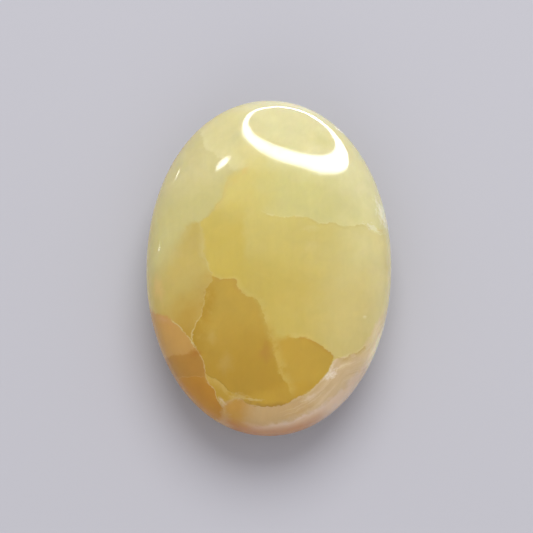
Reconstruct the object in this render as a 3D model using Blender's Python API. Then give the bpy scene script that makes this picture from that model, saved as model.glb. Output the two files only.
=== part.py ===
"""Oval palm stone of lemon calcite, ground to a pillow shape and lying on its small flat spot.

Lengths are in metres. X runs across the stone, Y along it and Z up. The origin is on the resting
surface, under the middle of the stone.
"""

import bmesh
import bpy
from mathutils import Vector

# Driving dimensions
LENGTH = 0.078
WIDTH = 0.055
THICKNESS = 0.026
REST_SPOT_LENGTH = 0.022  # along Y; the spot is an oval of the stone's own proportions

# How full the ground curves are: 2 gives an ellipse, and more gives a squarer one
OUTLINE_EXPONENT = 2.05
SECTION_EXPONENT = 2.3

FACET_ROUNDS = 5  # gives about 5,100 facets, 2 mm each

HALF_LENGTH = LENGTH / 2
HALF_WIDTH = WIDTH / 2

# Share of the half height that grinding the flat spot takes off the underside
SPOT_CUT_SHARE = 1 - (1 - (REST_SPOT_LENGTH / LENGTH) ** SECTION_EXPONENT) ** (1 / SECTION_EXPONENT)
HALF_HEIGHT = THICKNESS / (2 - SPOT_CUT_SHARE)
SPOT_DEPTH = HALF_HEIGHT * (1 - SPOT_CUT_SHARE)  # the spot, below the middle of the uncut pillow

CALCITE_YELLOW = "C8B65F"
POLISH_ROUGHNESS = 0.12
CALCITE_IOR = 1.6


def clear_scene():
    for old in list(bpy.data.objects):
        bpy.data.objects.remove(old, do_unlink=True)


def linear_colour(hex_code):
    """An sRGB hex colour as the linear RGBA that a shader takes."""
    shares = [int(hex_code[place : place + 2], 16) / 255 for place in (0, 2, 4)]
    linear = [s / 12.92 if s <= 0.04045 else ((s + 0.055) / 1.055) ** 2.4 for s in shares]
    return (*linear, 1.0)


def polished_calcite():
    """Lemon calcite, tumbled and polished: a cloudy yellow body under a clear, even gloss."""
    material = bpy.data.materials.new("polished_lemon_calcite")
    material.use_nodes = True
    shader = material.node_tree.nodes["Principled BSDF"]
    shader.inputs["Base Color"].default_value = linear_colour(CALCITE_YELLOW)
    shader.inputs["Metallic"].default_value = 0.0
    shader.inputs["Roughness"].default_value = POLISH_ROUGHNESS
    shader.inputs["IOR"].default_value = CALCITE_IOR
    return material


def on_pillow(direction):
    """The point of the uncut pillow that a unit direction from its middle leads to."""
    across, along, up = (abs(share) for share in direction)
    plan = (across**OUTLINE_EXPONENT + along**OUTLINE_EXPONENT) ** (1 / OUTLINE_EXPONENT)
    reach = (plan**SECTION_EXPONENT + up**SECTION_EXPONENT) ** (1 / SECTION_EXPONENT)
    return direction * Vector((HALF_WIDTH, HALF_LENGTH, HALF_HEIGHT)) / reach


def grind_rest_spot(stone):
    """Takes the underside off level, closes it with one flat face and stands that on Z = 0."""
    cut = bmesh.ops.bisect_plane(
        stone,
        geom=stone.verts[:] + stone.edges[:] + stone.faces[:],
        plane_co=(0, 0, -SPOT_DEPTH),
        plane_no=(0, 0, -1),
        clear_outer=True,
    )
    rim = [part for part in cut["geom_cut"] if isinstance(part, bmesh.types.BMEdge)]
    bmesh.ops.contextual_create(stone, geom=rim)
    bmesh.ops.translate(stone, verts=stone.verts[:], vec=(0, 0, SPOT_DEPTH))
    bmesh.ops.recalc_face_normals(stone, faces=stone.faces[:])


def make_palm_stone(collection):
    stone = bmesh.new()
    bmesh.ops.create_icosphere(stone, subdivisions=FACET_ROUNDS, radius=1)
    for vertex in stone.verts:
        vertex.co = on_pillow(vertex.co.normalized())
    grind_rest_spot(stone)
    mesh = bpy.data.meshes.new("palm_stone")
    stone.to_mesh(mesh)
    stone.free()
    mesh.shade_smooth()
    mesh.materials.append(polished_calcite())
    collection.objects.link(bpy.data.objects.new("palm_stone", mesh))


def main():
    clear_scene()
    collection = bpy.data.collections.new("palm_stone")
    bpy.context.scene.collection.children.link(collection)
    make_palm_stone(collection)


main()
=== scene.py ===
"""A lemon calcite palm stone, lying on its flat spot and seen from above.

The frame is in metres. Everything that describes the stone's markings is in millimetres from the
middle of the stone as seen from above, +X to the right and +Y towards the top of the picture.
"""

import math

import bmesh
import bpy
from mathutils import Matrix, Vector


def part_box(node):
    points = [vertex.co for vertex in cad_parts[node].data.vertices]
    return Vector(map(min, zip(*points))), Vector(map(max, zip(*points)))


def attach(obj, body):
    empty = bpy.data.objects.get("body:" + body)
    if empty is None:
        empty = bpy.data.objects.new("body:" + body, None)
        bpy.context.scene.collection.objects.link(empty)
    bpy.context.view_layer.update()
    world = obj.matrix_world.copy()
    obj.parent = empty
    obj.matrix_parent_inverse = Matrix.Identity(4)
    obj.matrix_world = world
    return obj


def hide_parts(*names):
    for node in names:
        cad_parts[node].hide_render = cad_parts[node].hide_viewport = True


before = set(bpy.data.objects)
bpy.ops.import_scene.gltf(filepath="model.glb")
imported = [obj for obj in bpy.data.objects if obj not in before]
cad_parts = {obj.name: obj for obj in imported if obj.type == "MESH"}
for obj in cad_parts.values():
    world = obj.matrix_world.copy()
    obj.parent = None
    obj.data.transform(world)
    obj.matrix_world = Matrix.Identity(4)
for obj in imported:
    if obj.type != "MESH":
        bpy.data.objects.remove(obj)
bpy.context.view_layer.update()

STONE_LOW, STONE_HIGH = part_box("palm_stone")
MM = 0.001

# The ground shape. Its three sizes come from the frame, and the share of its half thickness that is ground
# off for the flat spot comes from the length of the spot.
LENGTH = STONE_HIGH.y - STONE_LOW.y
WIDTH = STONE_HIGH.x - STONE_LOW.x
THICKNESS = STONE_HIGH.z - STONE_LOW.z
REST_SPOT_LENGTH = 22 * MM
OUTLINE_EXPONENT = 2.05
SECTION_EXPONENT = 2.3
SPOT_CUT_SHARE = 1 - (1 - (REST_SPOT_LENGTH / LENGTH) ** SECTION_EXPONENT) ** (1 / SECTION_EXPONENT)
HALF_SIZE = Vector((WIDTH / 2, LENGTH / 2, THICKNESS / (2 - SPOT_CUT_SHARE)))
MIDDLE_HEIGHT = HALF_SIZE.z * (1 - SPOT_CUT_SHARE)

# Polishing on a soft wheel leaves the faces very slightly uneven
POLISH_WAVE_HEIGHT = 0.16 * MM
POLISH_WAVE_LENGTH = 15 * MM
SPOT_EDGE_ROUNDING = 0.12 * MM
SURFACE_ROUNDS = 7  # the sphere's subdivisions: 82,000 triangles, 0.5 mm each
POLISH_SEED = 4.0

# The photograph's view: almost face on, from a little towards the stone's foot
CAMERA_ELEVATION = 73.0  # degrees
CAMERA_DISTANCE = 400 * MM
CAMERA_LENS = 120.2  # focal length in mm
CAMERA_ROLL = 0.4  # degrees
CAMERA_AIM = Vector((-0.52, -0.42, 12.7)) * MM
CAMERA_NEAR_LIMIT = 10 * MM

# The studio's ring lamp, which shows only in the polish. Bearings are in degrees from +Y towards +X.
LAMP_DISTANCE = 600 * MM
RING_OUTER_RADIUS = 344 * MM
RING_INNER_RADIUS = 278 * MM
RING_BEARING = 6.1
RING_ELEVATION = 17.0
RING_FACING_BEARING = 227.9
RING_FACING_ELEVATION = -23.0
RING_GLOW = 15.0
RING_SIDES = 128

# The small oval lamps, which also show only in the polish: bearing, elevation, half width and half height
# in degrees as seen from the stone, and glow
SMALL_LAMPS = {
    "left_lamp": (-27.5, 42, 3.2, 2.1, 16.0),
    "side_lamp": (-49.5, 1.5, 1.7, 1.1, 12.0),
    "far_side_lamp": (-71.8, 4.2, 1.0, 0.9, 10.0),
}

# The soft lights that light the stone: bearing and elevation in degrees, distance and width in m, watts
SOFT_LIGHTS = {
    "key_light": (10, 60, 0.9, 0.7, 5.4),
    "fill_light": (185, 28, 0.9, 0.8, 1.6),
}
BACKDROP_GLOW = 1.0

NEAR_FLOOR_RADIUS = 80 * MM
FAR_FLOOR_RADIUS = 4.0  # m

# The growth seams of the crystal: how far each leans as it goes down into the stone, in mm sideways for
# each mm of depth, and where it meets the upper face, listed from one end to the other with the width in
# mm over which the crystal changes there. A positive distance from a seam lies to the left of that
# direction.
SEAMS = {
    "cap": (0.35, [
        (-4.2, 10.2, 6.0), (-2.6, 8.6, 4.0), (-0.9, 8.0, 1.2), (0.8, 7.3, 0.4), (2.7, 6.9, 0.3),
        (4.9, 7.2, 0.3), (7.5, 7.2, 0.3), (10.0, 6.5, 0.3), (11.9, 5.9, 0.3), (14.1, 6.2, 0.3),
        (15.9, 5.6, 0.3), (18.5, 5.8, 0.4), (20.8, 6.7, 0.3), (22.7, 5.7, 0.4), (24.6, 5.4, 0.4),
        (26.7, 6.7, 0.4),
    ]),
    "flank": (-0.3, [
        (-7.0, 18.3, 4.0), (-8.4, 17.4, 4.2), (-9.4, 15.6, 3.8), (-10.1, 12.3, 3.0), (-11.6, 9.9, 1.8),
        (-13.7, 7.4, 0.9), (-15.1, 5.7, 0.9), (-14.9, 3.8, 1.8), (-14.6, 0.8, 2.2), (-14.4, -1.8, 1.6),
        (-13.5, -3.2, 1.2), (-13.1, -5.0, 0.8), (-12.2, -6.2, 0.5), (-13.5, -9.1, 0.6), (-14.3, -13.4, 0.6),
        (-15.7, -16.9, 0.5), (-16.4, -18.6, 0.4), (-16.3, -20.7, 0.5), (-14.9, -22.9, 0.5),
        (-14.0, -25.1, 0.5), (-13.5, -27.5, 0.4), (-12.2, -29.9, 0.4), (-11.1, -32.3, 0.5),
        (-9.7, -34.2, 1.2), (-9.1, -36.1, 3.0), (-8.0, -38.5, 4.0),
    ]),
    "tan step": (-0.3, [
        (-25.5, -5.5, 9.0), (-21.7, -1.0, 7.0), (-20.0, 1.8, 5.0), (-18.7, 4.2, 3.6), (-17.6, 5.6, 2.6),
        (-16.5, 6.0, 2.2), (-14.6, 5.9, 1.8),
    ]),
    "veil": (-0.4, [
        (-16.8, 31.5, 1.2), (-15.5, 28.6, 1.0), (-14.8, 26.0, 1.2), (-14.1, 24.0, 1.6), (-12.9, 23.0, 2.4),
        (-11.5, 22.3, 2.6), (-10.1, 21.4, 2.0), (-9.0, 19.6, 1.4), (-8.4, 18.4, 1.4), (-7.0, 18.3, 1.8),
        (-5.2, 18.4, 2.5), (-2.5, 18.0, 6.0), (1.0, 17.0, 8.0),
    ]),
    "honey": (0.5, [
        (-13.6, -6.0, 0.5), (-12.2, -6.2, 0.5), (-10.6, -7.1, 0.5), (-8.8, -6.9, 0.6), (-7.3, -7.5, 0.8),
        (-6.7, -9.0, 1.3), (-4.9, -10.8, 1.5), (-2.5, -11.9, 2.4), (-1.2, -14.6, 3.4), (-0.1, -17.8, 3.6),
        (0.8, -21.0, 2.6), (1.9, -24.8, 1.8), (3.2, -28.3, 1.2), (4.7, -30.9, 1.0), (5.8, -33.0, 1.5),
    ]),
    "ledge": (-0.4, [
        (0.0, -20.6, 3.0), (2.0, -20.2, 2.5), (3.6, -20.1, 1.2), (6.2, -19.7, 0.6), (8.3, -19.9, 0.4),
        (10.1, -20.7, 0.3), (11.1, -21.3, 0.3), (12.7, -22.2, 0.3), (14.2, -23.6, 0.4),
    ]),
    "ledge side": (-0.3, [
        (12.4, -21.6, 0.4), (13.5, -23.0, 0.4), (13.9, -23.8, 0.4), (13.6, -25.3, 0.9), (12.7, -27.4, 1.4),
        (10.3, -30.0, 1.6), (8.0, -31.5, 1.6),
    ]),
    "fold": (0.6, [
        (10.7, -20.9, 0.4), (12.4, -21.3, 0.3), (13.5, -21.8, 0.3), (14.1, -22.7, 0.3), (15.1, -23.5, 0.3),
        (16.2, -23.5, 0.3), (17.3, -22.9, 0.3), (19.5, -21.7, 0.3), (21.1, -20.3, 0.5), (22.9, -18.6, 0.8),
    ]),
    "crescent": (0.5, [
        (-13.6, -26.9, 0.3), (-12.3, -28.0, 0.3), (-10.8, -28.7, 0.3), (-9.1, -30.4, 0.4), (-7.8, -31.4, 0.5),
        (-6.0, -31.9, 1.0), (-3.5, -31.8, 2.0), (-0.6, -31.3, 2.5), (2.6, -30.3, 2.5), (4.7, -29.7, 2.0),
        (7.2, -29.0, 2.0),
    ]),
    "foot": (0.6, [
        (-9.7, -34.6, 2.4), (-8.4, -33.2, 1.8), (-7.1, -32.7, 1.2), (-4.7, -33.5, 0.6), (-2.4, -34.0, 0.3),
        (-0.6, -34.3, 0.3), (2.6, -34.0, 0.5), (4.7, -33.3, 0.6), (6.9, -32.2, 0.7), (8.6, -31.1, 0.8),
        (10.1, -29.8, 0.8), (11.6, -28.3, 0.6), (12.9, -26.8, 0.5), (13.6, -25.5, 0.4), (14.4, -24.2, 0.3),
        (15.5, -23.6, 0.3), (17.3, -22.9, 0.4), (19.5, -21.7, 0.9), (21.1, -20.1, 1.5), (22.9, -17.3, 2.2),
        (24.6, -13.8, 2.8), (26.5, -11.6, 2.8),
    ]),
    "rim band": (0.6, [
        (-8.0, -35.8, 3.0), (0.5, -37.7, 1.6), (4.2, -37.0, 1.3), (7.6, -35.6, 1.4), (11.0, -34.0, 1.6),
        (14.8, -31.3, 2.0), (18.3, -27.6, 2.2), (22.6, -21.0, 2.4), (25.6, -14.2, 2.4),
    ]),
    "corner": (0.3, [
        (-25.5, -12.3, 1.2), (-23.8, -13.4, 0.9), (-21.9, -14.6, 0.8), (-20.1, -16.2, 0.6),
        (-18.6, -17.7, 0.5), (-16.4, -20.4, 0.3), (-15.6, -21.6, 0.3),
    ]),
    "shelf top": (0.2, [
        (-21.5, -22.5, 0.5), (-19.2, -23.0, 0.6), (-17.6, -22.9, 0.9), (-16.3, -22.3, 1.0),
        (-14.6, -22.6, 0.8),
    ]),
    "shelf foot": (0.2, [(-20.8, -26.4, 0.6), (-17.0, -27.4, 0.3), (-13.0, -27.9, 0.3)]),
    "upright": (0.2, [(-4.8, 9.5, 4.0), (-5.5, 5.7, 2.4), (-5.4, 0.4, 2.4), (-5.2, -4.8, 3.5)]),
}
# Where the colour of the crystal drifts with no seam: the way the drift points, in degrees from +Y
# towards +X, how far from the middle it lies that way and the width of the change, in mm
DRIFTS = {
    "right": (90, 12.0, 24.0),
    "far right": (90, 23.0, 6.0),
    "upper body": (0, -2.0, 12.0),
    "lower body": (180, 6.0, 12.0),
    "shoulder": (0, 9.0, 14.0),
    "cap side": (90, 0.0, 9.0),
    "cap right": (90, 16.0, 16.0),
    "crown": (25, 20.5, 12.0),
    "crown rim": (5, 35.0, 8.0),
    "high flank": (-20, 19.5, 8.0),
    "ochre flank": (150, 1.0, 9.0),
    "veil side": (-90, 4.0, 9.0),
    "deep honey": (180, 20.0, 18.0),
    "ochre foot": (-90, 4.5, 5.0),
    "right foot": (90, 10.5, 7.0),
    "pale foot": (60, 8.5, 8.0),
}

THIN_EDGE_START = 0.94  # where the stone's thin edge begins, as a share of the way out to its rim

# A seam is ragged: the length in mm of each size of wave and tooth, and how far it goes to either side
RAGGED_WAVES = ((6.0, 0.35), (1.6, 0.3), (0.55, 0.22))

# A seam is feathered with flecks, and a drift billows like smoke, all in mm
FLECK_SIZE = 2.4
LONGEST_FLECK = 0.9
SMOKE_SIZE = 9.0
SMOKE_SWAY = 8.0

# A noise's values run from 0 to 1, and nearly all of them lie between these
NOISE_LOW = 0.3
NOISE_HIGH = 0.7

# sRGB colours: the body of the crystal, on which its zones are laid, the floor and the backdrop
GOLD = "C4B056"
FLOOR_PAINT = "B9B8BD"
BACKDROP = "C8C8CE"

# Polished calcite: a refractive index between calcite's two, the share of light that scatters inside, how
# deep it goes, with the shares of that for red, green and blue, its roughness, and what a missing polish
# adds to it
CALCITE_IOR = 1.55
SCATTERED_SHARE = 0.8
SCATTER_DEPTH = 3 * MM
SCATTER_DEPTH_SHARES = (1.0, 0.75, 0.35)
POLISHED_ROUGHNESS = 0.08
UNPOLISHED_ROUGHNESS_GAIN = 0.3


def linear_colour(hex_code):
    """An sRGB hex colour as the linear RGBA that a shader takes."""
    shares = [int(hex_code[place : place + 2], 16) / 255 for place in (0, 2, 4)]
    linear = [s / 12.92 if s <= 0.04045 else ((s + 0.055) / 1.055) ** 2.4 for s in shares]
    return (*linear, 1.0)


def add(tree, kind, inputs=None, **settings):
    """Adds a node with its settings. An input is a value, or a node or socket to link from."""
    node = tree.nodes.new(kind)
    for name, value in settings.items():
        setattr(node, name, value)
    for key, value in (inputs or {}).items():
        if isinstance(key, int):
            socket = node.inputs[key]
        else:
            socket = next(s for s in node.inputs if s.enabled and s.name == key)
        if isinstance(value, bpy.types.Node):
            value = next(s for s in value.outputs if s.enabled)
        if isinstance(value, bpy.types.NodeSocket):
            tree.links.new(value, socket)
        else:
            socket.default_value = value
    return node


def face_height(x, y):
    """Height of the upper face, in mm above the middle of the uncut pillow, at a place in mm."""
    across = abs(x * MM / HALF_SIZE.x)
    along = abs(y * MM / HALF_SIZE.y)
    plan = (across**OUTLINE_EXPONENT + along**OUTLINE_EXPONENT) ** (1 / OUTLINE_EXPONENT)
    return HALF_SIZE.z / MM * max(0.0, 1 - plan**SECTION_EXPONENT) ** (1 / SECTION_EXPONENT)


def direction(bearing, elevation):
    """A unit vector at a bearing from +Y towards +X and an elevation, both in degrees."""
    turn, rise = math.radians(bearing), math.radians(elevation)
    return Vector((math.sin(turn) * math.cos(rise), math.cos(turn) * math.cos(rise), math.sin(rise)))


def pillow_tree():
    """Geometry nodes for a pebble ground to a superellipsoid, with its flat spot and uneven polish."""
    tree = bpy.data.node_groups.new("ground_pillow", "GeometryNodeTree")
    sizes = {}
    for name, kind in (
        ("Half Size", "NodeSocketVector"),
        ("Outline Exponent", "NodeSocketFloat"),
        ("Section Exponent", "NodeSocketFloat"),
        ("Spot Depth", "NodeSocketFloat"),
        ("Spot Edge Rounding", "NodeSocketFloat"),
        ("Wave Height", "NodeSocketFloat"),
        ("Wave Length", "NodeSocketFloat"),
        ("Seed", "NodeSocketFloat"),
        ("Rounds", "NodeSocketInt"),
        ("Finish", "NodeSocketMaterial"),
    ):
        sizes[name] = tree.interface.new_socket(name, in_out="INPUT", socket_type=kind).identifier
    tree.interface.new_socket("Geometry", in_out="OUTPUT", socket_type="NodeSocketGeometry")
    given = add(tree, "NodeGroupInput").outputs

    ball = add(tree, "GeometryNodeMeshIcoSphere", {"Radius": 1.0, "Subdivisions": given["Rounds"]})
    place = add(tree, "GeometryNodeInputPosition")
    shares = add(tree, "ShaderNodeVectorMath", {0: place}, operation="ABSOLUTE")
    across, along, up = add(tree, "ShaderNodeSeparateXYZ", {0: shares}).outputs

    # plan = (across^n + along^n)^(1/n), then reach = (plan^m + up^m)^(1/m)
    plan = across
    for other, exponent in ((along, "Outline Exponent"), (up, "Section Exponent")):
        one = add(tree, "ShaderNodeMath", {0: plan, 1: given[exponent]}, operation="POWER")
        two = add(tree, "ShaderNodeMath", {0: other, 1: given[exponent]}, operation="POWER")
        both = add(tree, "ShaderNodeMath", {0: one, 1: two}, operation="ADD")
        root = add(tree, "ShaderNodeMath", {0: 1.0, 1: given[exponent]}, operation="DIVIDE")
        plan = add(tree, "ShaderNodeMath", {0: both, 1: root}, operation="POWER")
    stretched = add(tree, "ShaderNodeVectorMath", {0: place, 1: given["Half Size"]}, operation="MULTIPLY")
    inverse = add(tree, "ShaderNodeMath", {0: 1.0, 1: plan}, operation="DIVIDE")
    pillow = add(tree, "ShaderNodeVectorMath", {0: stretched, "Scale": inverse}, operation="SCALE")

    # The uneven polish moves the surface in or out along its direction from the middle
    wave_scale = add(tree, "ShaderNodeMath", {0: 1.0, 1: given["Wave Length"]}, operation="DIVIDE")
    waves = add(
        tree,
        "ShaderNodeTexNoise",
        {"Vector": pillow, "W": given["Seed"], "Scale": wave_scale, "Detail": 2.0, "Roughness": 0.5},
        noise_dimensions="4D",
    )
    even = add(tree, "ShaderNodeMath", {0: waves.outputs[0], 1: 0.5}, operation="SUBTRACT")
    height = add(tree, "ShaderNodeMath", {0: even, 1: given["Wave Height"]}, operation="MULTIPLY")
    moved = add(tree, "ShaderNodeVectorMath", {0: place, "Scale": height}, operation="SCALE")
    uneven = add(tree, "ShaderNodeVectorMath", {0: pillow, 1: moved}, operation="ADD")

    # The flat spot, at Z = 0
    x, y, z = add(tree, "ShaderNodeSeparateXYZ", {0: uneven}).outputs
    raised = add(tree, "ShaderNodeMath", {0: z, 1: given["Spot Depth"]}, operation="ADD")
    level = add(
        tree,
        "ShaderNodeMath",
        {0: raised, 1: 0.0, 2: given["Spot Edge Rounding"]},
        operation="SMOOTH_MAX",
    )
    ground = add(tree, "ShaderNodeCombineXYZ", {0: x, 1: y, 2: level})
    shaped = add(tree, "GeometryNodeSetPosition", {"Geometry": ball, "Position": ground})
    smooth = add(tree, "GeometryNodeSetShadeSmooth", {"Geometry": shaped, "Shade Smooth": True})
    real = add(tree, "GeometryNodeRealizeInstances", {"Geometry": smooth})
    dressed = add(tree, "GeometryNodeSetMaterial", {"Geometry": real, "Material": given["Finish"]})
    add(tree, "NodeGroupOutput", {"Geometry": dressed})
    return tree, sizes


def plain_mesh_of(carrier, name):
    """The carrier's evaluated mesh as a plain object; the carrier and its modifier are removed."""
    graph = bpy.context.evaluated_depsgraph_get()
    mesh = bpy.data.meshes.new_from_object(carrier.evaluated_get(graph))
    mesh.name = name
    bpy.data.objects.remove(carrier, do_unlink=True)
    piece = bpy.data.objects.new(name, mesh)
    bpy.context.scene.collection.objects.link(piece)
    return piece


def make_calcite_pebble(finish):
    tree, sizes = pillow_tree()
    carrier = bpy.data.objects.new("pebble_carrier", bpy.data.meshes.new("pebble_carrier"))
    bpy.context.scene.collection.objects.link(carrier)
    modifier = carrier.modifiers.new("ground_pillow", "NODES")
    modifier.node_group = tree
    for name, value in (
        ("Half Size", HALF_SIZE),
        ("Outline Exponent", OUTLINE_EXPONENT),
        ("Section Exponent", SECTION_EXPONENT),
        ("Spot Depth", MIDDLE_HEIGHT),
        ("Spot Edge Rounding", SPOT_EDGE_ROUNDING),
        ("Wave Height", POLISH_WAVE_HEIGHT),
        ("Wave Length", POLISH_WAVE_LENGTH),
        ("Seed", POLISH_SEED),
        ("Rounds", SURFACE_ROUNDS),
        ("Finish", finish),
    ):
        modifier[sizes[name]] = value
    bpy.context.view_layer.update()
    return plain_mesh_of(carrier, "calcite_pebble")


def seam_sheet(tree, place, lean, points):
    """How far a place lies from a seam, in mm and positive to the left of the seam's direction, its
    share of the way along the seam, and the width of the change there in mm.

    The seam is a sheet. Its trace on the upper face is a curve over the line from the first listed
    point to the last, and it leans as it goes down.
    """
    spots = [Vector((x, y, face_height(x, y))) for x, y, width in points]
    widths = [width for x, y, width in points]
    run = (spots[-1] - spots[0]).to_2d().normalized()
    along = Vector((run.x, run.y, 0))
    across = Vector((-run.y, run.x, lean))
    stations = [along.dot(spot) for spot in spots]
    offsets = [across.dot(spot) for spot in spots]
    first, last = stations[0], stations[-1]

    station = add(tree, "ShaderNodeVectorMath", {0: place, 1: along}, operation="DOT_PRODUCT")
    offset = add(tree, "ShaderNodeVectorMath", {0: place, 1: across}, operation="DOT_PRODUCT")
    share = add(
        tree,
        "ShaderNodeMapRange",
        {"Value": station.outputs["Value"], "From Min": first, "From Max": last},
        clamp=False,
    )
    levels = []
    for values in (offsets, widths):
        lowest, highest = min(values), max(values) + 0.001
        profile = add(tree, "ShaderNodeFloatCurve", {"Value": share})
        profile.mapping.extend = "HORIZONTAL"
        curve = profile.mapping.curves[0]
        knots = [
            ((at - first) / (last - first), (value - lowest) / (highest - lowest))
            for at, value in zip(stations, values)
        ]
        curve.points[0].location = knots[0]
        curve.points[-1].location = knots[-1]
        for knot in knots[1:-1]:
            curve.points.new(*knot)
        profile.mapping.update()
        limits = {"Value": profile, "To Min": lowest, "To Max": highest}
        levels.append(add(tree, "ShaderNodeMapRange", limits))
    trace, width = levels
    distance = add(tree, "ShaderNodeMath", {0: offset.outputs["Value"], 1: trace}, operation="SUBTRACT")
    return distance, share, width


def lay_on(tree, colour, tint, strength, shares, limits):
    """The colour with a tint laid on it, and the tint's share. The tint has the strength times the
    shares, where every limit's value has gone from its bottom to its top, and fades to nothing where
    one hasn't left its bottom."""
    mask = strength
    for value, bottom, top in limits:
        steps = {"Value": value, "From Min": bottom, "From Max": top}
        share = add(tree, "ShaderNodeMapRange", steps, interpolation_type="SMOOTHSTEP")
        mask = add(tree, "ShaderNodeMath", {0: mask, 1: share}, operation="MULTIPLY")
    for share in shares:
        mask = add(tree, "ShaderNodeMath", {0: mask, 1: share}, operation="MULTIPLY")
    both = {"Factor": mask, "A": colour, "B": linear_colour(tint)}
    return add(tree, "ShaderNodeMix", both, data_type="RGBA"), mask


# Zones of the crystal, in the order in which they are laid on: colour, strength, and the seams and drifts
# that bound each one, with the side of them that it lies on (1 is a seam's left, or the way a drift
# points). The thin edge of the stone is a bound too, and a zone that lists it twice lies closer to the rim.
# They fill the room that Cycles has for one material: with one more seam or drift as a bound, or the other
# side of one, it renders the stone black and reports no error.
# Some zones also hold painted light and shade, as the notes beside them say.
ZONES = [
    ("CDC387", 1.0, [("right", 1)]),
    ("C8B96B", 0.8, [("upper body", 1), ("right", -1)]),
    ("C0AA51", 0.8, [("lower body", 1), ("right", -1)]),
    ("C6B36C", 0.7, [("lower body", 1), ("right", 1)]),
    ("D3C68A", 0.8, [("far right", 1)]),
    ("C4AE4E", 0.8, [("upright", -1)]),
    ("D0C273", 1.0, [("shoulder", 1)]),
    ("C9C17D", 1.0, [("cap", 1), ("cap side", 1)]),
    ("D3CB91", 1.0, [("cap", 1), ("cap right", 1)]),
    ("DAD39E", 1.0, [("crown", 1)]),
    # Partly the crystal's colour, partly painted glow: the thin top end is painted paler, as light shining
    # through it.
    ("E8E3BC", 1.0, [("crown rim", 1)]),
    ("C6BC7C", 1.0, [("flank", -1)]),
    ("CCC28A", 1.0, [("flank", -1), ("high flank", 1)]),
    ("C2AD5E", 1.0, [("flank", -1), ("tan step", -1)]),
    # Partly the crystal's ochre, partly painted shade and warm reflected light on the lower left.
    ("B5922F", 1.0, [("flank", -1), ("ochre flank", 1)]),
    ("D4CB92", 0.9, [("veil", 1), ("veil side", 1)]),
    # These two zones are painted glow: the thin rim is painted paler, as light shining through the thin
    # stone.
    ("EDE2AE", 0.6, [("thin edge", 1), ("far right", 1)]),
    ("DCC478", 0.5, [("thin edge", 1), ("flank", -1)]),
    ("BA9B39", 1.0, [("honey", -1), ("flank", 1)]),
    ("B38E20", 1.0, [("honey", -1), ("flank", 1), ("deep honey", 1)]),
    ("B99831", 1.0, [("ledge", -1), ("honey", 1), ("ledge side", -1)]),
    ("BA9629", 0.9, [("crescent", -1), ("flank", 1)]),
    # The corner and shelf browns are partly the crystal's colour and partly painted shade and warm reflected
    # light on the lower left.
    ("BF9448", 1.0, [("corner", -1), ("flank", -1)]),
    ("B08026", 1.0, [("shelf top", -1), ("corner", -1), ("flank", -1)]),
    ("B68014", 1.0, [("shelf foot", -1), ("flank", -1)]),
    # The foot's zones from here on to the brown rim are partly the crystal's colour and partly painted shade
    # and warm reflected light.
    ("C8AE84", 1.0, [("foot", -1), ("flank", 1)]),
    ("C0A16D", 1.0, [("foot", -1), ("flank", 1), ("right foot", -1)]),
    ("D8BFA4", 0.85, [("foot", -1), ("rim band", -1), ("flank", 1)]),
    ("BD9038", 1.0, [("foot", -1), ("flank", 1), ("ochre foot", 1)]),
    # Painted warm shade on the foot's thin rim: brown laid on for shadow and warm reflected light.
    ("AF7438", 0.8, [("foot", -1), ("thin edge", 1), ("thin edge", 1), ("flank", 1), ("right foot", -1)]),
    ("E4D3A4", 0.9, [("foot", -1), ("pale foot", 1)]),
    ("FFF3C8", 1.0, [("foot", -1), ("rim band", -1), ("pale foot", 1)]),
]

LINE_GAP_LENGTH = 2.5  # mm between the places where a line comes and goes
LINE_NOISE = (0.3, 0.52)  # the noise's values at which a line is gone and whole
LINE_FRAY = 1 / 3  # how far a line's edge is feathered, as a share of its width
LINE_MARGIN = 0.01  # mm that a line fades past its reach
LINE_END = 0.04  # how far a line's ends fade to either side, as a share of the seam's way

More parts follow.
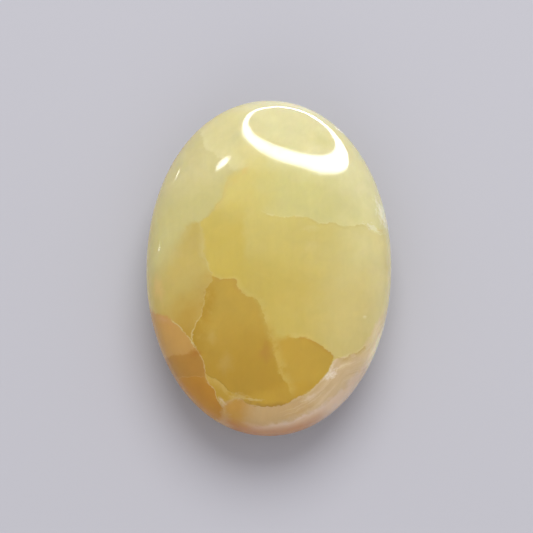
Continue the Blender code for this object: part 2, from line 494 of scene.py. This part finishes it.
# Lines and shades beside the seams: how far each reaches to the seam's left and right in mm, colour,
# strength, and the shares of the seam's way between which it shows
EDGES = [
    ("cap", 2.6, 0.1, "D6CD8C", 0.25, (0.1, 0.95)),
    ("cap", 0.3, 0.25, "DDD59C", 0.35, (0.1, 1.0)),
    ("cap", 0.1, 0.8, "B5A257", 0.3, (0.35, 0.85)),
    ("flank", 0.3, 0.3, "B5A45A", 0.35, (0.12, 0.2)),
    ("flank", 1.4, 0.1, "CFB463", 0.35, (0.02, 0.2)),
    ("flank", 0.6, 0.3, "D0C27F", 0.2, (0.3, 0.42)),
    ("flank", 3.8, 0.1, "AB8510", 0.75, (0.48, 0.72)),
    ("flank", 0.2, 0.2, "DDD2A4", 0.22, (0.5, 0.62)),
    ("flank", 0.2, 0.2, "DDD2A4", 0.35, (0.6, 0.92)),
    ("flank", 0.1, 2.5, "BFA75C", 0.4, (0.44, 0.62)),
    ("honey", 1.6, 0.1, "CDBB68", 0.5, (0.03, 0.5)),
    ("honey", 0.1, 1.4, "B28638", 0.35, (0.03, 0.25)),
    ("honey", 2.6, 0.5, "C8AC54", 0.5, (0.52, 0.95)),
    ("ledge", 1.2, 0.1, "D0BB6C", 0.4, (0.3, 0.9)),
    ("ledge", 0.1, 0.8, "AE7F24", 0.35, (0.42, 1.0)),
    ("ledge side", 0.1, 0.8, "B08A22", 0.4, (0.05, 0.3)),
    ("fold", 0.0, 1.8, "B89C48", 0.6, (0.3, 0.85)),
    ("fold", 0.6, 0.0, "D8C88C", 0.4, (0.3, 1.0)),
    ("crescent", 0.0, 2.4, "C9AA56", 0.8, (0.0, 0.35)),
    ("crescent", 0.4, 0.4, "9C7C14", 0.6, (0.03, 0.35)),
    ("foot", 0.9, 0.0, "D0BC74", 0.25, (0.06, 0.2)),
    ("foot", 1.3, 0.2, "A27C1E", 0.9, (0.1, 0.3)),
    ("foot", 0.1, 0.7, "E0D0A4", 0.3, (0.3, 0.5)),
    ("foot", 0.3, 1.2, "F0E6C8", 0.45, (0.5, 0.6)),
    ("corner", 0.2, 0.2, "CFC794", 0.5, (0.4, 1.0)),
    ("corner", 0.1, 1.6, "C08E54", 0.3, (0.0, 0.5)),
    ("shelf foot", 0.15, 0.15, "CBA45C", 0.4, (0.0, 0.9)),
    ("veil", 2.4, 0.3, "E0D8A6", 0.25, (0.0, 0.6)),
    # Painted highlight: a pale band along the bottom rim, for the light that the rim catches.
    ("rim band", 1.6, 1.2, "D6C4B4", 0.3, (0.15, 0.8)),
]

STREAK_OUTER_FADE = 1.0  # mm, on the side away from the seam
STREAK_INNER_FADE = 0.2  # mm, to either side of where they end beside the seam
STREAK_END = 0.05  # as LINE_END
STREAK_NOISE = (0.45, 0.65)  # the noise's values at which there is no streak and a whole one
STREAK_LAYER = 7.0  # steps through the noise from one set to the next, so that no two are alike

# Silky streaks that follow a seam: the distances from the seam between which they lie and the shares of
# its way, their width and length in mm, colour and strength
STREAKS = [
    ("foot", (-7.0, 0.2), (0.35, 1.1), 1.0, 6.0, "E2D2AE", 0.2),
    ("foot", (-7.0, 0.0), (0.2, 1.1), 0.6, 6.0, "B29660", 0.14),
    ("foot", (-3.6, -1.8), (0.25, 0.7), 0.5, 9.0, "EEE4C8", 0.2),
]

# Clouds, bruises and feathered fractures just under the upper face: place, half length, half width and
# turn in degrees, streaks across the half width, colour, strength, and how far the polish is missing
PATCHES = [
    ((-5.4, 18.2), 2.4, 1.0, 48, 2.0, "D4B76C", 0.45, 0.0),
    ((-7.6, 15.8), 2.4, 1.2, 60, 2.0, "D3B868", 0.35, 0.0),
    ((23.2, 6.3), 2.6, 0.9, -15, 4.0, "E6E1C6", 0.5, 0.5),
    ((25.0, 6.2), 1.5, 0.8, 0, 2.0, "D2BC7E", 0.6, 0.4),
    ((25.2, 10.6), 4.4, 1.6, 103, 2.5, "F0EDD2", 0.85, 0.6),
    ((21.4, 15.2), 3.8, 2.4, 0, 1.2, "DFD7A6", 0.5, 0.0),
    ((15.9, 30.9), 2.2, 0.8, -40, 3.0, "F4F1DC", 0.9, 0.8),
    ((13.6, -27.2), 2.0, 0.8, 42, 2.5, "EAE0CC", 0.7, 0.1),
    ((16.5, -25.0), 3.0, 0.7, 33, 2.0, "DCCB9C", 0.5, 0.0),
    ((9.1, -32.0), 2.6, 0.7, 25, 2.0, "DECDB0", 0.45, 0.0),
    ((-9.8, -33.0), 1.5, 0.6, -48, 2.0, "DCC8A8", 0.65, 0.0),
    ((-5.9, -32.2), 2.2, 0.9, -5, 2.5, "D6C596", 0.28, 0.0),
    ((-12.0, -19.7), 2.2, 1.7, 80, 1.2, "C4A759", 0.35, 0.0),
    ((-9.1, -25.3), 3.6, 2.6, 70, 1.2, "BD9E50", 0.4, 0.0),
    ((-0.5, -23.1), 3.2, 1.9, 80, 1.5, "B08228", 0.7, 0.0),
    ((9.2, 4.5), 2.8, 1.1, 0, 1.5, "D0C584", 0.45, 0.0),
    ((9.2, 0.2), 2.8, 1.9, 20, 1.5, "D0C07A", 0.5, 0.0),
    ((-15.6, -23.0), 2.0, 1.3, 0, 1.5, "A87016", 0.7, 0.0),
    ((-7.5, 26.8), 2.6, 2.0, 60, 1.0, "C8C390", 0.6, 0.0),
    ((11.3, 26.2), 5.0, 3.2, -20, 1.2, "D0C98C", 0.7, 0.0),
    ((9.9, 23.9), 3.0, 1.2, 15, 1.5, "E0D9A6", 0.6, 0.0),
    ((-24.2, -7.8), 4.6, 1.5, 100, 1.5, "D4B36C", 0.6, 0.0),
    ((-23.4, -14.4), 2.8, 1.0, -35, 1.5, "C89E66", 0.5, 0.0),
    ((20.9, -14.4), 0.7, 0.5, 0, 1.0, "DED6AC", 0.5, 0.0),
    ((-3.4, -32.8), 3.6, 0.35, -8, 2.0, "DCCF9E", 0.35, 0.0),
]
PATCH_DEPTH = 2.0  # half depth of a patch, as a share of its half length
PATCH_HEART = 0.05  # how far a patch is whole, as a share of the way from its middle to its edge
FRAY_PER_STREAK = 0.9  # how far a streaky patch breaks up at its edge, as a share of its half size

# Cloud in the crystal: the size of its billows or fibres in mm, their turn in degrees, how much the
# billows curl, and how far they darken and lighten it
CLOUDS = [
    ((13, 13, 13), 0, 0.8, 0.04),
    ((5, 5, 5), 0, 1.0, 0.025),
    ((1.2, 1.8, 1.8), 0, 0.5, 0.01),
    ((0.8, 6, 4), -35, 0.0, 0.007),
    ((0.9, 8, 5), 4, 0.0, 0.012),
]


def ragged_from(tree, place):
    """The place moved a little to and fro, so that seams measured from it are wavy and toothed."""
    ragged = place
    for wave_length, height in RAGGED_WAVES:
        noise = add(tree, "ShaderNodeTexNoise", {"Vector": place, "Scale": 1 / wave_length, "Detail": 1.0})
        even = add(
            tree,
            "ShaderNodeVectorMath",
            {0: noise.outputs["Color"], 1: Vector((0.5, 0.5, 0.5))},
            operation="SUBTRACT",
        )
        shift = add(tree, "ShaderNodeVectorMath", {0: even, "Scale": height * 2}, operation="SCALE")
        ragged = add(tree, "ShaderNodeVectorMath", {0: ragged, 1: shift}, operation="ADD")
    return ragged


def measure_seams_and_drifts(tree, place, ragged):
    """By name: the distance from each seam and drift in mm, the share of the way along each seam, and the
    width in mm over which the crystal changes at each seam and drift."""
    distances, shares, widths = {}, {}, {}
    for name, (lean, points) in SEAMS.items():
        distances[name], shares[name], widths[name] = seam_sheet(tree, ragged, lean, points)

    smoke = add(tree, "ShaderNodeTexNoise", {"Vector": place, "Scale": 1 / SMOKE_SIZE, "Detail": 2.0})
    sway = add(
        tree,
        "ShaderNodeVectorMath",
        {0: smoke.outputs["Color"], 1: Vector((SMOKE_SWAY, SMOKE_SWAY, SMOKE_SWAY)), 2: place},
        operation="MULTIPLY_ADD",
    )
    for name, (bearing, level, width) in DRIFTS.items():
        way = direction(bearing, 0)
        middle_of_sway = SMOKE_SWAY / 2 * (way.x + way.y)
        reach = add(tree, "ShaderNodeVectorMath", {0: sway, 1: way}, operation="DOT_PRODUCT")
        past = {0: reach.outputs["Value"], 1: level + middle_of_sway}
        distances[name] = add(tree, "ShaderNodeMath", past, operation="SUBTRACT")
        widths[name] = width
    return distances, shares, widths


def fleck(tree, place):
    """Noise from -0.5 to 0.5 that feathers a seam: one crystal reaches into the other in flecks."""
    flecks = add(
        tree,
        "ShaderNodeTexNoise",
        {"Vector": place, "Scale": 1 / FLECK_SIZE, "Detail": 4.0, "Roughness": 0.62},
    )
    levels = {"From Min": NOISE_LOW, "From Max": NOISE_HIGH, "To Min": -0.5, "To Max": 0.5}
    return add(tree, "ShaderNodeMapRange", {"Value": flecks.outputs[0], **levels})


def cross_to_sides(tree, place, feather, distances, widths):
    """By the name and side of all that bounds a zone: how far a place has crossed to it, from 0 to 1."""
    plan_shares = Vector((MM / HALF_SIZE.x, MM / HALF_SIZE.y, 0))
    plan = add(tree, "ShaderNodeVectorMath", {0: place, 1: plan_shares}, operation="MULTIPLY")
    out = add(tree, "ShaderNodeVectorMath", {0: plan}, operation="LENGTH").outputs["Value"]
    steps = {"Value": out, "From Min": THIN_EDGE_START, "From Max": 1.0}
    sides = {("thin edge", 1): add(tree, "ShaderNodeMapRange", steps, interpolation_type="SMOOTHSTEP")}

    bounds_in_use = {bound for tint, strength, bounds in ZONES for bound in bounds}
    for name, side in sorted(bounds_in_use - sides.keys()):
        fray = add(tree, "ShaderNodeMath", {0: widths[name], 1: LONGEST_FLECK}, operation="MINIMUM")
        flecked = {0: feather, 1: fray, 2: distances[name]}
        reach = add(tree, "ShaderNodeMath", flecked, operation="MULTIPLY_ADD")
        crossing = add(tree, "ShaderNodeMath", {0: reach, 1: widths[name]}, operation="DIVIDE")
        steps = {"Value": crossing, "From Min": -side / 2, "From Max": side / 2}
        sides[name, side] = add(tree, "ShaderNodeMapRange", steps, interpolation_type="SMOOTHSTEP")
    return sides


def lay_zones(tree, colour, sides):
    for tint, strength, bounds in ZONES:
        colour, _ = lay_on(tree, colour, tint, strength, [sides[bound] for bound in bounds], [])
    return colour


def lay_lines(tree, colour, place, feather, distances, shares):
    """The colour with the lines and shades beside the seams. They come and go along a seam."""
    comes_and_goes = add(
        tree,
        "ShaderNodeTexNoise",
        {"Vector": place, "Scale": 1 / LINE_GAP_LENGTH, "Detail": 3.0, "Roughness": 0.65},
    )
    gone, whole = LINE_NOISE
    steps = {"Value": comes_and_goes.outputs[0], "From Min": gone, "From Max": whole}
    presence = add(tree, "ShaderNodeMapRange", steps, interpolation_type="SMOOTHSTEP")
    for seam, left, right, tint, strength, (begin, end) in EDGES:
        flecked = {0: feather, 1: (left + right) * LINE_FRAY, 2: distances[seam]}
        near = add(tree, "ShaderNodeMath", flecked, operation="MULTIPLY_ADD")
        middle, half = (begin + end) / 2, (end - begin) / 2
        past = add(tree, "ShaderNodeMath", {0: shares[seam], 1: middle}, operation="SUBTRACT")
        aside = add(tree, "ShaderNodeMath", {0: past}, operation="ABSOLUTE")
        limits = [
            (near, left + LINE_MARGIN, 0.0),
            (near, -right - LINE_MARGIN, 0.0),
            (aside, half + LINE_END, half - LINE_END),
        ]
        colour, _ = lay_on(tree, colour, tint, strength, [presence], limits)
    return colour


def lay_streaks(tree, colour, distances, shares):
    """The colour with the silky streaks, which are noise drawn out along a seam."""
    for number, (seam, (far, near), (begin, end), width, length, tint, strength) in enumerate(STREAKS):
        across = add(tree, "ShaderNodeMath", {0: distances[seam], 1: 1 / width}, operation="MULTIPLY")
        points = SEAMS[seam][1]
        run = math.dist(points[0][:2], points[-1][:2])
        along = add(tree, "ShaderNodeMath", {0: shares[seam], 1: run / length}, operation="MULTIPLY")
        spot = add(tree, "ShaderNodeCombineXYZ", {"X": across, "Y": along, "Z": STREAK_LAYER * number})
        silk = add(tree, "ShaderNodeTexNoise", {"Vector": spot, "Scale": 1.0, "Detail": 2.0})
        limits = [
            (distances[seam], far, far + STREAK_OUTER_FADE),
            (distances[seam], near + STREAK_INNER_FADE, near - STREAK_INNER_FADE),
            (shares[seam], begin - STREAK_END, begin + STREAK_END),
            (shares[seam], end + STREAK_END, end - STREAK_END),
            (silk.outputs[0], *STREAK_NOISE),
        ]
        colour, _ = lay_on(tree, colour, tint, strength, [], limits)
    return colour


def lay_patches(tree, colour, ragged):
    """The colour with the clouds, bruises and fractures, and how far they leave the polish missing."""
    dullness = 0.0
    for (x, y), half_length, half_width, turn, streaks, tint, strength, dull in PATCHES:
        fray = FRAY_PER_STREAK * streaks
        inside = add(
            tree,
            "ShaderNodeMapping",
            {
                "Vector": ragged,
                "Location": (x, y, face_height(x, y)),
                "Rotation": (0, 0, math.radians(turn)),
                "Scale": (half_length, half_width, half_length * PATCH_DEPTH),
            },
            vector_type="TEXTURE",
        )
        away = add(tree, "ShaderNodeVectorMath", {0: inside}, operation="LENGTH")
        broken = add(
            tree,
            "ShaderNodeTexNoise",
            {"Vector": inside, "Scale": streaks, "Detail": 3.0, "Roughness": 0.6},
        )
        frayed = add(
            tree,
            "ShaderNodeMath",
            {0: broken.outputs[0], 1: fray, 2: away.outputs["Value"]},
            operation="MULTIPLY_ADD",
        )
        limits = [(frayed, fray / 2 + 1.0, fray / 2 + PATCH_HEART)]
        colour, mask = lay_on(tree, colour, tint, strength, [], limits)
        if dull:
            dullness = add(tree, "ShaderNodeMath", {0: mask, 1: dull, 2: dullness}, operation="MULTIPLY_ADD")
    return colour, dullness


def cloud_over(tree, colour, place):
    """The colour darkened and lightened by the billows and fibres of cloud in the crystal."""
    for size, turn, curl, gain in CLOUDS:
        squeeze = add(
            tree,
            "ShaderNodeMapping",
            {"Vector": place, "Rotation": (0, 0, math.radians(turn)), "Scale": size},
            vector_type="TEXTURE",
        )
        cloud = add(
            tree,
            "ShaderNodeTexNoise",
            {"Vector": squeeze, "Scale": 1.0, "Detail": 3.0, "Distortion": curl},
        )
        gains = {"From Min": NOISE_LOW, "From Max": NOISE_HIGH, "To Min": 1 - gain, "To Max": 1 + gain}
        light = add(tree, "ShaderNodeMapRange", {"Value": cloud.outputs[0], **gains})
        colour = add(tree, "ShaderNodeVectorMath", {0: colour, "Scale": light}, operation="SCALE")
    return colour


def polished_lemon_calcite():
    """Lemon calcite, cut and polished: cloudy, lit from within, under a clear gloss. Its thin edges are
    painted paler, as glow, and brown at the foot, as painted shade. Where sugary crystal reaches the
    surface, the polish is dull."""
    material = bpy.data.materials.new("polished_lemon_calcite")
    material.use_nodes = True
    tree = material.node_tree
    shader = tree.nodes["Principled BSDF"]

    # The place in mm from the middle of the stone
    where = add(tree, "ShaderNodeTexCoord")
    centred = add(
        tree,
        "ShaderNodeVectorMath",
        {0: where.outputs["Object"], 1: Vector((0, 0, MIDDLE_HEIGHT))},
        operation="SUBTRACT",
    )
    place = add(tree, "ShaderNodeVectorMath", {0: centred, "Scale": 1 / MM}, operation="SCALE")

    ragged = ragged_from(tree, place)
    distances, shares, widths = measure_seams_and_drifts(tree, place, ragged)
    feather = fleck(tree, place)
    sides = cross_to_sides(tree, place, feather, distances, widths)

    colour = lay_zones(tree, linear_colour(GOLD), sides)
    colour = lay_lines(tree, colour, place, feather, distances, shares)
    colour = lay_streaks(tree, colour, distances, shares)
    colour, dullness = lay_patches(tree, colour, ragged)
    colour = cloud_over(tree, colour, place)
    tree.links.new(colour.outputs[0], shader.inputs["Base Color"])

    gloss = {0: dullness, 1: UNPOLISHED_ROUGHNESS_GAIN, 2: POLISHED_ROUGHNESS}
    roughness = add(tree, "ShaderNodeMath", gloss, operation="MULTIPLY_ADD")
    tree.links.new(roughness.outputs[0], shader.inputs["Roughness"])
    shader.inputs["IOR"].default_value = CALCITE_IOR
    shader.inputs["Subsurface Weight"].default_value = SCATTERED_SHARE
    shader.inputs["Subsurface Radius"].default_value = SCATTER_DEPTH_SHARES
    shader.inputs["Subsurface Scale"].default_value = SCATTER_DEPTH
    return material


def flat_ring(name, inner, outer):
    """A flat ring facing +Z, or a disc where the inner radius is 0."""
    ring = bmesh.new()
    bmesh.ops.create_circle(ring, segments=RING_SIDES, radius=outer, cap_ends=inner == 0)
    if inner:
        bmesh.ops.create_circle(ring, segments=RING_SIDES, radius=inner)
        bmesh.ops.bridge_loops(ring, edges=ring.edges[:])
    mesh = bpy.data.meshes.new(name)
    ring.to_mesh(mesh)
    ring.free()
    piece = bpy.data.objects.new(name, mesh)
    bpy.context.scene.collection.objects.link(piece)
    return piece


def make_floor():
    """A plain pale floor. The polish mirrors the part of it around the stone, and the backdrop beyond."""
    paint = bpy.data.materials.new("matt_floor_paint")
    paint.use_nodes = True
    paint.node_tree.nodes.clear()
    matt = add(paint.node_tree, "ShaderNodeBsdfDiffuse", {"Color": linear_colour(FLOOR_PAINT)})
    add(paint.node_tree, "ShaderNodeOutputMaterial", {"Surface": matt})
    for name, inner, outer, mirrored in (
        ("near_floor", 0.0, NEAR_FLOOR_RADIUS, True),
        ("far_floor", NEAR_FLOOR_RADIUS, FAR_FLOOR_RADIUS, False),
    ):
        floor = flat_ring(name, inner, outer)
        floor.data.materials.append(paint)
        floor.visible_glossy = mirrored


def lamp_glow(name, strength):
    material = bpy.data.materials.new(name)
    material.use_nodes = True
    tree = material.node_tree
    tree.nodes.clear()
    glow = add(tree, "ShaderNodeEmission", {"Strength": strength})
    add(tree, "ShaderNodeOutputMaterial", {"Surface": glow})
    return material


def mirrored_only(lamp):
    """A lamp that shows only in polished surfaces, because the area lights do the lighting."""
    lamp.visible_camera = False
    lamp.visible_diffuse = False
    lamp.visible_transmission = False
    lamp.visible_volume_scatter = False
    lamp.visible_shadow = False


def make_ring_lamp():
    lamp = flat_ring("ring_lamp", RING_INNER_RADIUS, RING_OUTER_RADIUS)
    lamp.location = direction(RING_BEARING, RING_ELEVATION) * LAMP_DISTANCE
    facing = direction(RING_FACING_BEARING, RING_FACING_ELEVATION)
    lamp.rotation_euler = facing.to_track_quat("Z", "Y").to_euler()
    lamp.data.materials.append(lamp_glow("ring_lamp_glow", RING_GLOW))
    mirrored_only(lamp)


def make_small_lamp(name, bearing, elevation, half_width, half_height, strength):
    """An oval lamp that faces the stone. Its half sizes are in degrees, as the stone sees them."""
    lamp = flat_ring(name, 0.0, LAMP_DISTANCE)
    lamp.scale = (math.tan(math.radians(half_width)), math.tan(math.radians(half_height)), 1)
    lamp.location = direction(bearing, elevation) * LAMP_DISTANCE
    lamp.rotation_euler = (-lamp.location).to_track_quat("Z", "Y").to_euler()
    lamp.data.materials.append(lamp_glow(name + "_glow", strength))
    mirrored_only(lamp)


def make_soft_light(name, bearing, elevation, distance, side, power):
    data = bpy.data.lights.new(name, "AREA")
    data.shape = "DISK"
    data.size = side
    data.energy = power
    light = bpy.data.objects.new(name, data)
    bpy.context.scene.collection.objects.link(light)
    light.location = direction(bearing, elevation) * distance
    light.rotation_euler = (-light.location).to_track_quat("-Z", "Y").to_euler()
    light.visible_glossy = False


def make_world():
    world = bpy.data.worlds.new("pale_studio")
    world.use_nodes = True
    ground = world.node_tree.nodes["Background"]
    ground.inputs["Color"].default_value = linear_colour(BACKDROP)
    ground.inputs["Strength"].default_value = BACKDROP_GLOW
    bpy.context.scene.world = world


def make_camera():
    data = bpy.data.cameras.new("camera")
    data.lens = CAMERA_LENS
    data.clip_start = CAMERA_NEAR_LIMIT
    camera = bpy.data.objects.new("camera", data)
    bpy.context.scene.collection.objects.link(camera)
    back = direction(180, CAMERA_ELEVATION)
    camera.location = CAMERA_AIM + back * CAMERA_DISTANCE
    level = back.to_track_quat("Z", "Y").to_matrix().to_4x4()
    roll = Matrix.Rotation(math.radians(CAMERA_ROLL), 4, "Z")
    camera.rotation_euler = (level @ roll).to_euler()
    bpy.context.scene.camera = camera


pebble = make_calcite_pebble(polished_lemon_calcite())
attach(pebble, "root")
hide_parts("palm_stone")

make_floor()
make_ring_lamp()
for lamp_name, placing in SMALL_LAMPS.items():
    make_small_lamp(lamp_name, *placing)
for light_name, placing in SOFT_LIGHTS.items():
    make_soft_light(light_name, *placing)
make_world()
make_camera()
bpy.context.scene.view_settings.view_transform = "Standard"
